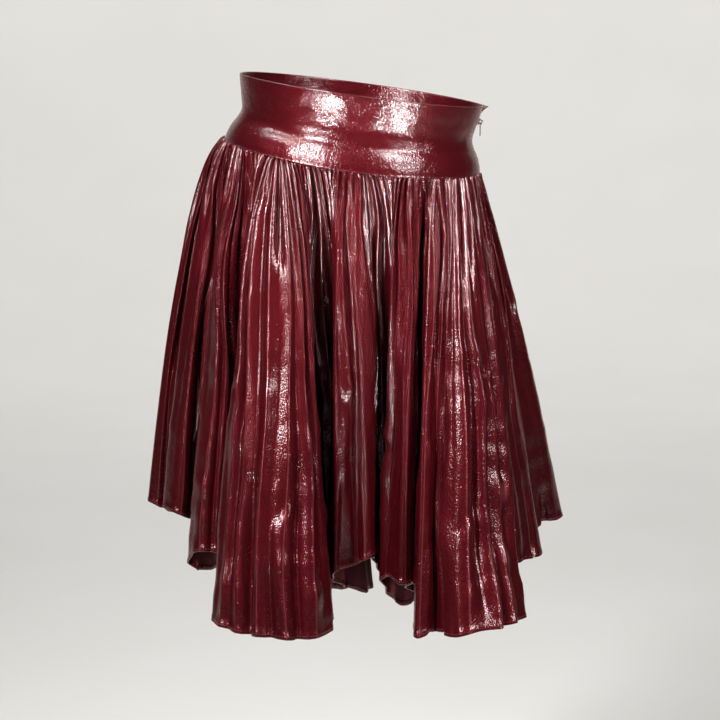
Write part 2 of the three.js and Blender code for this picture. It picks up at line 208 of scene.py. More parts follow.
FRONT_FLUTES = 10
LEFT_SIDE_DEG = -90

knots, knot_angles, knot_flares = [], [], []
seam_start = LEFT_SIDE_DEG
for row, (_, seam_end, flare, way) in enumerate(FLUTES):
    next_flare = FLUTES[(row + 1) % len(FLUTES)][2]
    for i, point in enumerate(way):
        knots.append(point)
        knot_angles.append(seam_start + (seam_end - seam_start) * i / len(way))
        knot_flares.append(flare + (next_flare - flare) * i / len(way))
    seam_start = seam_end
knot_angles.append(seam_start)
knot_flares.append(knot_flares[0])
KNOTS = np.array(knots, float)
KNOT_COUNT = len(KNOTS)
SIDE_KNOT = sum(len(way) for _, _, _, way in FLUTES[:FRONT_FLUTES])
print("flutes:", len(FLUTES), "with", KNOT_COUNT, "knots along the hem")

# %% [markdown]
# ## One smooth sheet between seam and hem
#
# The hem is a closed Catmull-Rom curve through the knots. Such a curve passes through each of
# its points, and the centripetal kind never loops between two that lie close. Below each place
# of the seam the cloth swings out to its place on the hem, fast at first and then more slowly.
# Numpy works out all the points at once, which is far quicker than one at a time.

# %% The hem's curve and the smooth sheet
FLARE_START = 1e-6


def hem_points(knot):
    """Points of the hem in mm, at places counted in knots around it."""
    low = np.floor(knot).astype(int)
    t = (knot - low)[..., None]
    p0, p1, p2, p3 = (KNOTS[(low + shift) % KNOT_COUNT] for shift in (-1, 0, 1, 2))
    gap0, gap1, gap2 = (
        np.sqrt(np.linalg.norm(b - a, axis=-1, keepdims=True)) for a, b in ((p0, p1), (p1, p2), (p2, p3))
    )
    start = ((p1 - p0) / gap0 - (p2 - p0) / (gap0 + gap1) + (p2 - p1) / gap1) * gap1
    end = ((p2 - p1) / gap1 - (p3 - p1) / (gap1 + gap2) + (p3 - p2) / gap2) * gap1
    return (
        p1 + start * t
        + (3 * (p2 - p1) - 2 * start - end) * t**2
        + (2 * (p1 - p2) + start + end) * t**3
    )


def sheet_points(knot, down):
    """The middle of the cloth in mm: place along the hem in knots, share of the way down."""
    knot = np.asarray(knot, float) % KNOT_COUNT
    low = np.floor(knot).astype(int)
    share = knot - low
    angles, flares = np.array(knot_angles), np.array(knot_flares)
    angle = angles[low] + (angles[low + 1] - angles[low]) * share
    flare = np.maximum(down, FLARE_START) ** (flares[low] + (flares[low + 1] - flares[low]) * share)
    seam = band_points(angle, np.full_like(angle, BAND_HEIGHT), BAND_WALL / 2)
    edge = hem_points(knot)
    out = np.empty(edge.shape)
    out[..., :2] = seam[..., :2] + (edge - seam)[..., :2] * flare[..., None]
    out[..., 2] = seam[..., 2] - SEAM_GAP + (edge[..., 2] - seam[..., 2] + SEAM_GAP) * down
    return out


print("hem, first knot:", hem_points(np.array([0.0]))[0].round(1))

# %% [markdown]
# ## Where the pleats run
#
# Sunburst pleats are pressed between two card moulds, as straight rays that open towards the
# hem. Sewn into the band they crowd together, so they lean, merge and vary in width. Each
# pleat gets eight columns of the mesh, placed at set shares of its width: one in the valley's
# crease and three around the ridge, which keeps every crease crisp. The columns wander a little
# sideways on the smooth sheet, and that makes the pleats lean and crowd without changing the
# skirt's outline. The rows lie closer below the band, where the gathers are small, and in the
# turned-up hem.

# %% Columns and rows of a panel
FRONT_PLEATS = 78
BACK_PLEATS = 68
PLEAT_SHARES = (0.0, 0.12, 0.25, 0.42, 0.5, 0.58, 0.75, 0.88)
PANEL_LENGTH = 450
HEM_ROWS = (6.0, 4.8, 3.0, 1.2, 0.4, 0.0)   # mm above the edge
CLOTH_ROWS = 95
ROW_CROWDING = 1.3
STEPS_PER_PLEAT = 10          # for measuring along the hem
STEPS_PER_KNOT = 40
CALM_PLEATS = 1.5             # the pleats stay in line beside a side seam
WIDTH_UNEVENNESS = 0.26
WIDTH_STEP = 0.9              # of its noise, for one pleat
WANDER = 0.8
WANDER_STEPS = (0.34, 3.2)    # of its noise, for one pleat and for the whole way down
WANDER_SHIFT = 7
WANDER_FULL = 0.12            # shares of the way down
WANDER_EASE_START = 0.2
WANDER_EASE_LENGTH = 0.4
WANDER_EASED = 0.75
LEAST_STEP = 0.3              # columns never come closer than this share of their even spacing
SEED = 11
BACK_SEED = 31
BAND_SEED = 51
LATTICE = 257                 # random values along each side of the noise's square


def value_noise(seed, x, y):
    """Smooth repeatable noise from -1 to 1 at places x, y, one value for each whole step."""
    lattice = np.random.default_rng(seed).uniform(-1, 1, (LATTICE, LATTICE))
    x0, y0 = np.floor(x).astype(int), np.floor(y).astype(int)
    tx, ty = x - x0, y - y0
    tx, ty = tx * tx * (3 - 2 * tx), ty * ty * (3 - 2 * ty)
    corners = [lattice[(x0 + i) % LATTICE, (y0 + j) % LATTICE] for i in (0, 1) for j in (0, 1)]
    near = corners[0] * (1 - ty) + corners[1] * ty
    far = corners[2] * (1 - ty) + corners[3] * ty
    return near * (1 - tx) + far * tx


def equal_knots(first, last, steps):
    """Places from one knot to another, in equal steps of the hem's length."""
    fine = np.linspace(first, last, (last - first) * STEPS_PER_KNOT + 1)
    step_lengths = np.linalg.norm(np.diff(hem_points(fine), axis=0), axis=1)
    length = np.concatenate([[0], np.cumsum(step_lengths)])
    return np.interp(np.linspace(0, length[-1], steps + 1), length, fine), length[-1]


def panel_grid(first, last, pleats, seed):
    """Places of a panel's mesh columns and rows: knots, shares down, and pleat numbers."""
    places, length = equal_knots(first, last, pleats * STEPS_PER_PLEAT)
    number = np.append((np.arange(pleats)[:, None] + PLEAT_SHARES).reshape(-1), pleats)
    hem = 1 - np.array(HEM_ROWS) / PANEL_LENGTH
    down = np.concatenate([np.linspace(0, 1, CLOTH_ROWS, endpoint=False) ** ROW_CROWDING * hem[0], hem])
    pleat, way = np.meshgrid(number, down)
    calm = np.clip(np.minimum(pleat, pleats - pleat) / CALM_PLEATS, 0, 1)
    widths = WIDTH_UNEVENNESS * value_noise(seed, pleat * WIDTH_STEP, 0 * way)
    lean = WANDER * value_noise(seed + 1, pleat * WANDER_STEPS[0], way * WANDER_STEPS[1] + WANDER_SHIFT)
    eased = WANDER_EASED * np.clip((way - WANDER_EASE_START) / WANDER_EASE_LENGTH, 0, 1)
    lean = lean * np.clip(way / WANDER_FULL, 0, 1) * (1 - eased)
    shifted = pleat + calm * (widths + lean)
    steps = np.maximum(np.diff(shifted, axis=1), LEAST_STEP * np.diff(pleat, axis=1))
    shifted = np.concatenate([0 * way[:, :1], np.cumsum(steps, axis=1)], axis=1)
    shifted *= pleats / shifted[:, -1:]
    steps = np.arange(pleats * STEPS_PER_PLEAT + 1)
    return np.interp(shifted * STEPS_PER_PLEAT, steps, places), way, pleat, length


front_grid = panel_grid(0, SIDE_KNOT, FRONT_PLEATS, SEED)
back_grid = panel_grid(SIDE_KNOT, KNOT_COUNT, BACK_PLEATS, BACK_SEED)
print("hem of the front panel", round(front_grid[3]), "mm, of the back", round(back_grid[3]), "mm")

# %% [markdown]
# ## The smooth sheet as a mesh
#
# The sheet goes into Blender as a plain grid of quads. Three numbers ride on each of its points
# as attributes, for the pleats and the materials to read: the pleat's number with its share, the
# share of the way down, and how far the pleat may stand out. Where the sheet turns sharply, at
# the bottom of a valley, a pleat opens flat, and there that last number falls to zero. It does
# so too along the side seams, where the two panels are sewn together.

# %% Grids to meshes
SIDE_SEAM_PLEATS = 0.5
FLATTEN_TURN_DEG = 80
PLEAT_ROOM = 1.45


def add_mesh(name, points, faces):
    """A mesh object at the origin."""
    mesh = bpy.data.meshes.new(name)
    mesh.from_pydata(points.reshape(-1, 3).tolist(), [], faces.tolist())
    mesh.update()
    return linked(name, mesh)


def grid_faces(rows, columns, start=0):
    """Quads of a grid whose rows run downwards and columns to the right, facing outwards."""
    first = (np.arange(rows - 1)[:, None] * columns + np.arange(columns - 1)).reshape(-1) + start
    return np.stack([first, first + columns, first + columns + 1, first + 1], axis=1)


def set_attribute(mesh, name, values):
    """A number on each point of a mesh."""
    layer = mesh.attributes.new(name, "FLOAT", "POINT")
    layer.data.foreach_set("value", np.ascontiguousarray(values.reshape(-1), np.float32))


def room_for_pleats(points):
    """From 1 on a straight stretch to 0 at sharp turns of the sheet and at its sewn side edges."""
    reach = len(PLEAT_SHARES)
    flat = points[..., :2]
    padded = np.pad(flat, ((0, 0), (reach, reach), (0, 0)), mode="edge")
    before = flat - padded[:, : flat.shape[1]]
    after = padded[:, 2 * reach:] - flat
    cross = before[..., 0] * after[..., 1] - before[..., 1] * after[..., 0]
    turn = np.degrees(np.abs(np.arctan2(cross, (before * after).sum(-1))))
    columns = np.arange(flat.shape[1])
    sewn = np.clip(np.minimum(columns, columns[::-1]) / (SIDE_SEAM_PLEATS * reach), 0, 1)
    return np.clip(PLEAT_ROOM - turn / FLATTEN_TURN_DEG, 0, 1) * sewn


def sheet_object(name, grid):
    """The smooth sheet of one panel, with its attributes."""
    knot, way, pleat, _ = grid
    points = sheet_points(knot, way)
    thing = add_mesh(name, points * MM, grid_faces(*way.shape))
    set_attribute(thing.data, "pleat", pleat)
    set_attribute(thing.data, "way_down", way)
    set_attribute(thing.data, "room", room_for_pleats(points))
    return thing


front_sheet = sheet_object("skirt_front_cloth", front_grid)
back_sheet = sheet_object("skirt_back_cloth", back_grid)
print("quads on the front sheet:", len(front_sheet.data.polygons))

# %% [markdown]
# ## Nodes by hand
#
# Materials and Geometry Nodes are both built from nodes. One small function adds a node, sets
# its properties, and gives each of its sockets a value or a link to another node's output. The
# others are short names for the nodes that are used most.

# %% Functions that add nodes


def add_node(tree, kind, inputs=None, **settings):
    """A new node, with its settings, and with values or other nodes' outputs in its sockets."""
    new = tree.nodes.new(kind)
    for name, value in settings.items():
        setattr(new, name, value)
    for key, value in (inputs or {}).items():
        if isinstance(key, int):
            socket = new.inputs[key]
        else:
            socket = next(s for s in new.inputs if s.enabled and key in (s.name, s.identifier))
        if isinstance(value, bpy.types.NodeSocket):
            tree.links.new(value, socket)
        else:
            socket.default_value = value
    return new


def calc(tree, operation, *values):
    """The result of a Math node."""
    return add_node(tree, "ShaderNodeMath", dict(enumerate(values)), operation=operation).outputs[0]


def vector_calc(tree, operation, *values, **scale):
    """The result of a Vector Math node."""
    inputs = {**dict(enumerate(values)), **scale}
    return add_node(tree, "ShaderNodeVectorMath", inputs, operation=operation).outputs[0]


def ramp(tree, value, start, end, low=0.0, high=1.0, shape="LINEAR"):
    """A value taken from one range to another, and held at both ends."""
    inputs = {"Value": value, "From Min": start, "From Max": end, "To Min": low, "To Max": high}
    return add_node(tree, "ShaderNodeMapRange", inputs, interpolation_type=shape).outputs[0]


def mix(tree, factor, first, second, kind="FLOAT"):
    """The first value where the factor is 0, and the second where it is 1."""
    inputs = {"Factor": factor, "A": first, "B": second}
    return next(s for s in add_node(tree, "ShaderNodeMix", inputs, data_type=kind).outputs if s.enabled)


def noise(tree, place, scale=1.0, detail=1.0, **settings):
    """Soft random values from about 0 to 1, by place."""
    inputs = {"Vector": place, "Scale": scale, "Detail": detail}
    return add_node(tree, "ShaderNodeTexNoise", inputs, **settings).outputs[0]


# %% [markdown]
# ## The pleats, with Geometry Nodes
#
# A pleat is a rule that holds everywhere: cloth moves in and out along its normal as a wave of
# the pleat's number. That is work for Geometry Nodes. Below the band the wave is round, as
# gathered cloth is, and some gathers split in two. Further down it sharpens into the creases
# that the mould pressed, and grooves run along some valleys. Slower noise bends the panels
# between the flutes, crumples with a sharp line lie over them, and a slow drift keeps the
# pleats' lines from being quite straight.

# %% The inputs of the pleats, and functions for trees
PLEAT_INPUTS = {
    "Depth at seam": ("NodeSocketFloat", 0.0046),
    "Depth at hem": ("NodeSocketFloat", 0.0050),
    "Least share": ("NodeSocketFloat", 0.3),
    "Greatest share": ("NodeSocketFloat", 1.7),
    "Groove depth": ("NodeSocketFloat", 0.0100),
    "Groove width": ("NodeSocketFloat", 0.3),
    "Soft folds": ("NodeSocketFloat", 0.0110),
    "Split gathers": ("NodeSocketFloat", 0.35),
    "Crumples": ("NodeSocketFloat", 0.0060),
    "Wander": ("NodeSocketFloat", 0.016),
    "Seed": ("NodeSocketFloat", 3.0),
    "Material": ("NodeSocketMaterial", None),
}


def start_tree(name, inputs):
    """A new Geometry Nodes tree with a geometry input, named inputs and a geometry output."""
    tree = bpy.data.node_groups.new(name, "GeometryNodeTree")
    tree.interface.new_socket("Geometry", in_out="INPUT", socket_type="NodeSocketGeometry")
    tree.interface.new_socket("Geometry", in_out="OUTPUT", socket_type="NodeSocketGeometry")
    for label, (socket_type, default) in inputs.items():
        socket = tree.interface.new_socket(label, in_out="INPUT", socket_type=socket_type)
        if default is not None:
            socket.default_value = default
    return tree, tree.nodes.new("NodeGroupInput").outputs


def end_tree(tree, geometry, material):
    """The end of a tree: instances made real, the material set, and the group's output."""
    real = add_node(tree, "GeometryNodeRealizeInstances", {"Geometry": geometry}).outputs[0]
    dressed = add_node(tree, "GeometryNodeSetMaterial", {"Geometry": real, "Material": material}).outputs[0]
    add_node(tree, "NodeGroupOutput", {"Geometry": dressed})


def run_tree(thing, tree, values):
    """Evaluates a tree on an object, and leaves the object with the plain mesh that it made."""
    modifier = thing.modifiers.new(tree.name, "NODES")
    modifier.node_group = tree
    for item in tree.interface.items_tree:
        if item.in_out == "INPUT" and item.name in values:
            modifier[item.identifier] = values[item.name]
    evaluated = thing.evaluated_get(bpy.context.evaluated_depsgraph_get())
    mesh = bpy.data.meshes.new_from_object(evaluated)
    thing.modifiers.remove(modifier)
    thing.data = mesh


def named(tree, name, kind="FLOAT"):
    """The attribute of this name."""
    return add_node(tree, "GeometryNodeInputNamedAttribute", {"Name": name}, data_type=kind).outputs[0]


print("inputs of the pleats:", ", ".join(PLEAT_INPUTS))

# %% The wave of the pleats
VALLEY_POWER = 2.2              # how narrow the valleys between gathers are
OPENING_POWER = 0.4             # how soon the depth goes from the seam's to the hem's
SHARPEN = (0.04, 0.2)           # shares of the way down, from and to
SPLITTING_ENDS = (0.03, 0.16)
SPLIT_STEPS = (0.47, 9.0, 1.0)  # of the noise: for one pleat, for the whole way down, for the seed
SPLIT_NOISE = (0.45, 0.6)       # the noise's values where a choice begins and is complete
DEPTH_STEPS = (0.83, 2.2, 1.0)
DEPTH_NOISE = (0.34, 0.66)

pleats, given = start_tree("pleats", PLEAT_INPUTS)
number, way_share, free_room = (named(pleats, name) for name in ("pleat", "way_down", "room"))


def pleat_noise(pleat, steps, detail=1.0):
    """Noise by the pleat's number, the way down and the seed."""
    inputs = {"X": pleat, "Y": way_share, "Z": given["Seed"]}
    place = add_node(pleats, "ShaderNodeCombineXYZ", inputs).outputs[0]
    return noise(pleats, vector_calc(pleats, "MULTIPLY", place, steps), detail=detail)


def gathers(half_width):
    """Round crests with narrow valleys between them, from 0.5 down to -0.5."""
    from_valley = calc(pleats, "PINGPONG", number, half_width)
    from_crest = ramp(pleats, from_valley, 0.0, half_width, 1.0, 0.0)
    return calc(pleats, "SUBTRACT", 0.5, calc(pleats, "POWER", from_crest, VALLEY_POWER))


# one crest for each pleat, round or sharp, and two where a gather splits
across = calc(pleats, "PINGPONG", number, 0.5)
sharp = ramp(pleats, across, 0.0, 0.5, -0.5, 0.5)
single = mix(pleats, ramp(pleats, way_share, *SHARPEN), gathers(0.5), sharp)
picked = ramp(pleats, pleat_noise(number, SPLIT_STEPS), *SPLIT_NOISE)
high_up = ramp(pleats, way_share, *SPLITTING_ENDS, given["Split gathers"], 0.0, "SMOOTHSTEP")
wave = mix(pleats, calc(pleats, "MULTIPLY", picked, high_up), single, gathers(0.25))

# how deep each of them is
opening = calc(pleats, "POWER", way_share, OPENING_POWER)
depth = mix(pleats, opening, given["Depth at seam"], given["Depth at hem"])
kept_share = ramp(
    pleats, pleat_noise(number, DEPTH_STEPS), *DEPTH_NOISE, given["Least share"], given["Greatest share"])
pleated = calc(pleats, "MULTIPLY", wave, calc(pleats, "MULTIPLY", depth, kept_share))
print("nodes for the wave:", len(pleats.nodes))

# %% Grooves, folds, crumples and drift
GROOVE_STEPS = (0.71, 1.7, 3.0)
GROOVE_NOISE = (0.5, 0.66)
GROOVE_FULL = 0.1               # share of the way down
GROOVE_AT_SEAM = 0.003
FOLD_STEPS = (0.21, 1.6, 2.0)
FOLDS_FULL = 0.35
CRUMPLE_SIZE = 0.034
CRUMPLES_BEGIN = (0.12, 0.45)
DRIFT_SIZE = 0.055
DRIFT_STRETCH = (1.0, 1.0, 0.3)   # drawn out along the height
DRIFT_BEGINS = (0.05, 0.5)

# deep grooves along some of the valleys, which the mould pressed
nearest = calc(pleats, "ROUND", number)
chosen = ramp(pleats, pleat_noise(nearest, GROOVE_STEPS), *GROOVE_NOISE)
groove = ramp(pleats, across, 0.0, given["Groove width"], 1.0, 0.0, "SMOOTHSTEP")
groove_depth = ramp(
    pleats, way_share, 0.0, GROOVE_FULL, GROOVE_AT_SEAM, given["Groove depth"], "SMOOTHSTEP")
carved = calc(pleats, "MULTIPLY", calc(pleats, "MULTIPLY", groove, groove_depth), chosen)
grooved = calc(pleats, "SUBTRACT", pleated, carved)

# soft folds, about five pleats wide, that start below the band
bend = calc(pleats, "SUBTRACT", pleat_noise(number, FOLD_STEPS, 1.5), 0.5)
bend_reach = ramp(pleats, way_share, 0.0, FOLDS_FULL, 0.0, given["Soft folds"], "SMOOTHSTEP")
bent = calc(pleats, "MULTIPLY_ADD", bend, bend_reach, grooved)

# crumples with a sharp line, from wearing and packing, on the open panels below the gathers
where = add_node(pleats, "GeometryNodeInputPosition").outputs[0]
lines = noise(pleats, where, 1 / CRUMPLE_SIZE, 2.0, noise_type="RIDGED_MULTIFRACTAL", normalize=True)
crumple = calc(pleats, "MULTIPLY", lines, ramp(pleats, way_share, *CRUMPLES_BEGIN))
stored = add_node(
    pleats, "GeometryNodeStoreNamedAttribute",
    {"Geometry": given["Geometry"], "Name": "crumple", "Value": crumple}).outputs[0]
crumpled = calc(pleats, "MULTIPLY_ADD", crumple, given["Crumples"], bent)
height = calc(pleats, "MULTIPLY", crumpled, free_room)
normal = add_node(pleats, "GeometryNodeInputNormal").outputs[0]
outwards = vector_calc(pleats, "SCALE", normal, Scale=height)

# a slow drift, so that the pleats' lines wander where the cloth hangs free
drift_inputs = {
    "Vector": vector_calc(pleats, "MULTIPLY", where, DRIFT_STRETCH), "Scale": 1 / DRIFT_SIZE, "Detail": 0.0}
drift_noise = add_node(pleats, "ShaderNodeTexNoise", drift_inputs).outputs["Color"]
drift_way = vector_calc(pleats, "SUBTRACT", drift_noise, (0.5, 0.5, 0.5))
drift_reach = ramp(pleats, way_share, *DRIFT_BEGINS, 0.0, given["Wander"])
drift = vector_calc(pleats, "SCALE", drift_way, Scale=calc(pleats, "MULTIPLY", drift_reach, free_room))
offset = vector_calc(pleats, "ADD", outwards, drift)
shaped = add_node(pleats, "GeometryNodeSetPosition", {"Geometry": stored, "Offset": offset}).outputs[0]
end_tree(pleats, shaped, given["Material"])
print("nodes in the tree of the pleats:", len(pleats.nodes))

# %% [markdown]
# ## First materials
#
# The colours are written as the sRGB hex values that a colour picker shows. Blender's shaders
# work in linear light, so one function turns them.

# %% Colours and an empty material


def linear(hex_colour):
    """Linear red, green, blue and alpha of an sRGB colour."""
    parts = [int(hex_colour[i:i + 2], 16) / 255 for i in (1, 3, 5)]
    return (*[p / 12.92 if p <= 0.04045 else ((p + 0.055) / 1.055) ** 2.4 for p in parts], 1)


def start_material(name, **shader):
    """A new material with its shader, whose sockets take the values that are the same everywhere."""
    material = bpy.data.materials.new(name)
    material.use_nodes = True
    tree = material.node_tree
    tree.nodes.clear()
    body = add_node(tree, "ShaderNodeBsdfPrincipled", {k.replace("_", " "): v for k, v in shader.items()})
    add_node(tree, "ShaderNodeOutputMaterial", {"Surface": body.outputs[0]})
    place = add_node(tree, "ShaderNodeTexCoord").outputs["Object"]
    return material, tree, body.inputs, place


def two_tints(tree, factor, first, second):
    """A colour between two, each a hex value or another colour's output."""
    colours = [linear(c) if isinstance(c, str) else c for c in (first, second)]
    return mix(tree, factor, *colours, kind="RGBA")


def bump(tree, height, distance, strength=1.0, **normal):
    """A normal tilted by a height in metres, on top of another normal where one is given."""
    inputs = {"Strength": strength, "Distance": distance, "Height": height, **normal}
    return add_node(tree, "ShaderNodeBump", inputs).outputs[0]


# %% [markdown]
# ## Foil-coated jersey
#
# The face is a knit with a metallic film pressed onto it, under a clear coat. The partly
# metallic body mirrors its surroundings in its own dark red and goes nearly black in the
# valleys, and the coat above it gives the white highlights. The knit shows through as a grain
# under two millimetres wide that thins and tilts the coat, so highlights break up into sparks.
# A paler colour is painted along the ridges and the crumples' lines, as a painted highlight on their
# creases.

# %% The coated face
GRAIN_SIZE = 0.0017
CRINKLE_SIZE = 0.009
DENT_SIZE = 0.022
SHADE_SIZE = 0.09
STREAKS = (5.0, 14.0, 0.0)          # for one pleat, and for the whole way down
# where the paler painted highlight lies: along the ridges, and along the crumples' lines
RIDGE_PAINTED_HIGHLIGHT = (0.46, 0.5, 0.0, 0.2)
CRUMPLE_PAINTED_HIGHLIGHT = (0.45, 0.75, 0.0, 0.4)
FILM_BY_GRAIN = (0.38, 0.6, 0.45, 1.0)
ROUGHNESS_BY_GRAIN = (0.3, 0.7, 0.34, 0.5)

coated, tree, shader, place = start_material(
    "jersey_foil_coated", Metallic=0.6, Specular_IOR_Level=0.1, Specular_Tint=linear("#ff5a6a"),
    Coat_Roughness=0.16, Coat_IOR=1.65)
grain = noise(tree, place, 1 / GRAIN_SIZE)
crinkle = noise(tree, place, 1 / CRINKLE_SIZE, 2.0)
dent = noise(tree, place, 1 / DENT_SIZE)
shade = noise(tree, place, 1 / SHADE_SIZE, 2.0)
face_number, face_way, face_crumple = (
    add_node(tree, "ShaderNodeAttribute", attribute_name=name).outputs["Fac"]
    for name in ("pleat", "way_down", "crumple"))

# deep red, a little darker and bluer in patches, with a paler painted highlight along ridges and crumple
# lines
base = two_tints(tree, shade, "#37060b", "#4f0a12")
# painted highlight: a paler colour along each ridge and each crumple's line
ridge_painted_highlight = ramp(tree, calc(tree, "PINGPONG", face_number, 0.5), *RIDGE_PAINTED_HIGHLIGHT)
painted_highlight_lines = calc(tree, "MAXIMUM", ridge_painted_highlight, ramp(tree, face_crumple, *CRUMPLE_PAINTED_HIGHLIGHT))
tree.links.new(two_tints(tree, painted_highlight_lines, base, "#b85a60"), shader["Base Color"])

# the film is thinner in the hollows of the grain, which breaks the highlights into sparks
tree.links.new(ramp(tree, grain, *FILM_BY_GRAIN), shader["Coat Weight"])
tree.links.new(ramp(tree, grain, *ROUGHNESS_BY_GRAIN), shader["Roughness"])

# dents, fine lines pressed along the pleats, crinkles, and the grain on top of them all
in_pleats = add_node(tree, "ShaderNodeCombineXYZ", {"X": face_number, "Y": face_way}).outputs[0]
streak = noise(tree, vector_calc(tree, "MULTIPLY", in_pleats, STREAKS), detail=2.0)
streaked = bump(tree, streak, 0.0002, Normal=bump(tree, dent, 0.0009))
crinkled = bump(tree, crinkle, 0.0003, Normal=streaked)
tree.links.new(bump(tree, grain, 0.0003, Normal=crinkled), shader["Normal"])
tree.links.new(bump(tree, grain, 0.00032, Normal=crinkled), shader["Coat Normal"])
print("coated face:", len(tree.nodes), "nodes")

# %% [markdown]
# ## The reverse of the jersey
#
# The back of the cloth has no film. It is a dark red knit, nearly matt, with a faint sheen at
# flat angles from the fibres that stand up.

# %% The brushed reverse
WALE_SIZE = 0.0011

reverse, tree, shader, place = start_material(
    "jersey_brushed_reverse", Roughness=0.7, Specular_IOR_Level=0.25, Sheen_Weight=0.05,
    Sheen_Roughness=0.5)
fibre = noise(tree, place, 1 / WALE_SIZE, 3.0)
tree.links.new(two_tints(tree, fibre, "#38070c", "#5a131b"), shader["Base Color"])
tree.links.new(bump(tree, fibre, 0.0003, strength=0.6), shader["Normal"])
print("reverse:", len(tree.nodes), "nodes")

# %% [markdown]
# ## Small creases, one by one
#
# Pressed cloth that has been worn and packed keeps short dents, and here and there a soft fold
# that crosses the pleats. Noise can't place these, so each is one row of a table: the pleat and
# the share of the way down where its middle lies, its length and lean, and how deep and wide it
# is. Each is a soft trough with a low ridge beside it.

# %% Tables of creases
# pleat, share of the way down, length mm, lean in degrees, depth mm, width mm
FRONT_CREASES = [
    (12.2, 0.35, 60, 18, 2.2, 5), (17.5, 0.62, 75, -14, 2.4, 6), (23.0, 0.50, 45, 35, 2.2, 4),
    (26.4, 0.72, 60, -28, 2.5, 5), (29.3, 0.42, 70, 12, 2.4, 6), (31.8, 0.83, 50, 24, 2.0, 5),
    (36.6, 0.30, 26, -48, 2.7, 3), (39.2, 0.55, 60, 20, 2.4, 5), (44.1, 0.38, 50, -22, 2.0, 4),
    (48.6, 0.66, 50, 30, 2.2, 5), (53.2, 0.47, 65, -16, 2.4, 6), (57.0, 0.60, 70, 22, 2.5, 5),
    (60.4, 0.76, 55, -30, 2.5, 5), (62.2, 0.44, 42, 38, 2.2, 4), (64.8, 0.88, 40, 26, 2.2, 4),
    (67.5, 0.58, 60, -18, 2.0, 6), (71.6, 0.40, 48, 20, 2.0, 5), (74.9, 0.70, 52, -24, 1.9, 5),
    (5.5, 0.56, 55, 20, 1.9, 5), (9.1, 0.78, 50, -26, 2.0, 5),
]
BACK_CREASES = [
    (6.3, 0.42, 55, 20, 2.0, 5), (12.8, 0.66, 60, -18, 2.2, 6), (18.0, 0.36, 40, 34, 2.0, 4),
    (21.7, 0.80, 55, -26, 2.4, 5), (25.9, 0.52, 65, 16, 2.4, 6), (30.4, 0.31, 28, -46, 2.5, 3),
    (34.6, 0.62, 55, 22, 2.2, 5), (39.1, 0.45, 48, -20, 2.0, 5), (43.3, 0.73, 60, 28, 2.4, 5),
    (47.2, 0.56, 62, -15, 2.4, 6), (51.5, 0.86, 42, 24, 2.2, 4), (55.4, 0.40, 46, -34, 2.0, 4),
    (59.8, 0.64, 56, 18, 2.0, 5), (63.9, 0.50, 50, -22, 1.9, 5),
]
RIDGE_SHARE = 0.5       # how high the ridge beside a trough is, against its depth
RIDGE_SHIFT = 1.7       # how far beside it the ridge lies, in widths


def crease_relief(across_mm, down_mm, length, lean_deg, depth, width):
    """How far one crease moves the cloth out, in mm, at distances from its middle."""
    lean = math.radians(lean_deg)
    along = across_mm * math.sin(lean) + down_mm * math.cos(lean)
    beside = across_mm * math.cos(lean) - down_mm * math.sin(lean) + along**2 / (4 * length)
    fade = np.clip(1 - (2 * along / length) ** 2, 0, 1)
    trough = np.exp(-((beside / width) ** 2))
    ridge = np.exp(-(((beside - RIDGE_SHIFT * width) / width) ** 2))
    return depth * fade * (RIDGE_SHARE * ridge - trough)


print("creases:", len(FRONT_CREASES), "in front and", len(BACK_CREASES), "behind")

# %% [markdown]
# ## From a sheet to cloth with a thickness
#
# Cloth has two faces, and here they look quite different. So each sheet becomes a closed shell:
# the outer face, the inner face with fewer rows because it lies in the dark, and rims that
# close them. The last 6 mm are turned up and doubled, and dip where the topstitching pulls.

# %% A closed shell
SKIRT_WALL = 0.9
HEM_WALLS = (0.9, 1.8, 1.5, 1.9, 1.6, 0.7)   # at the rows of the hem
INNER_ROW_STEP = 2


def counted(thing):
    """The same object, once its triangles are counted and printed."""
    thing.data.calc_loop_triangles()
    print(thing.name, len(thing.data.loop_triangles), "triangles")
    return thing


def shell_object(name, outer, inner, kept_rows, materials, inner_slot, attributes):
    """A closed shell from two grids of points, facing outwards on both sides."""
    rows, columns = outer.shape[:2]
    first_inner = rows * columns
    inner_index = {row: first_inner + i * columns for i, row in enumerate(kept_rows)}
    outside = grid_faces(rows, columns)
    inside = grid_faces(len(kept_rows), columns, first_inner)[:, ::-1]
    steps = np.arange(columns - 1)
    top, bottom = steps, steps + (rows - 1) * columns
    top_in, bottom_in = steps + first_inner, steps + inner_index[rows - 1]
    rims = np.concatenate([
        np.stack([top, top + 1, top_in + 1, top_in], axis=1),
        np.stack([bottom, bottom_in, bottom_in + 1, bottom + 1], axis=1),
    ])
    faces = np.concatenate([outside, inside, rims]).tolist()
    for low, high in zip(kept_rows[:-1], kept_rows[1:]):
        for column, turn in ((0, -1), (columns - 1, 1)):
            edge = [row * columns + column for row in range(low, high + 1)]
            faces.append((edge + [inner_index[high] + column, inner_index[low] + column])[::turn])
    points = np.concatenate([outer.reshape(-1, 3), inner[kept_rows].reshape(-1, 3)])
    mesh = bpy.data.meshes.new(name)
    mesh.from_pydata(points.tolist(), [], faces)
    for material in materials:
        mesh.materials.append(material)
    slots = np.zeros(len(faces), int)
    slots[len(outside): len(outside) + len(inside)] = inner_slot
    mesh.polygons.foreach_set("material_index", slots)
    mesh.polygons.foreach_set("use_smooth", np.ones(len(faces), bool))
    for key, values in attributes.items():
        set_attribute(mesh, key, np.concatenate([values.reshape(-1), values[kept_rows].reshape(-1)]))
    mesh.update()
    return counted(linked(name, mesh))


# %% [markdown]
# Each panel now goes through the tree of the pleats, takes its creases, and becomes a shell.
# The smooth sheet lends its normals, because they stay steady where the pleats turn sharply.

# %% The two pleated panels


def sheet_normals(points):
    """Outward normals of a grid of points."""
    across = np.gradient(points, axis=1)
    down = np.gradient(points, axis=0)
    down[0] = down[1]
    normal = np.cross(down, across)
    return normal / np.linalg.norm(normal, axis=-1, keepdims=True)


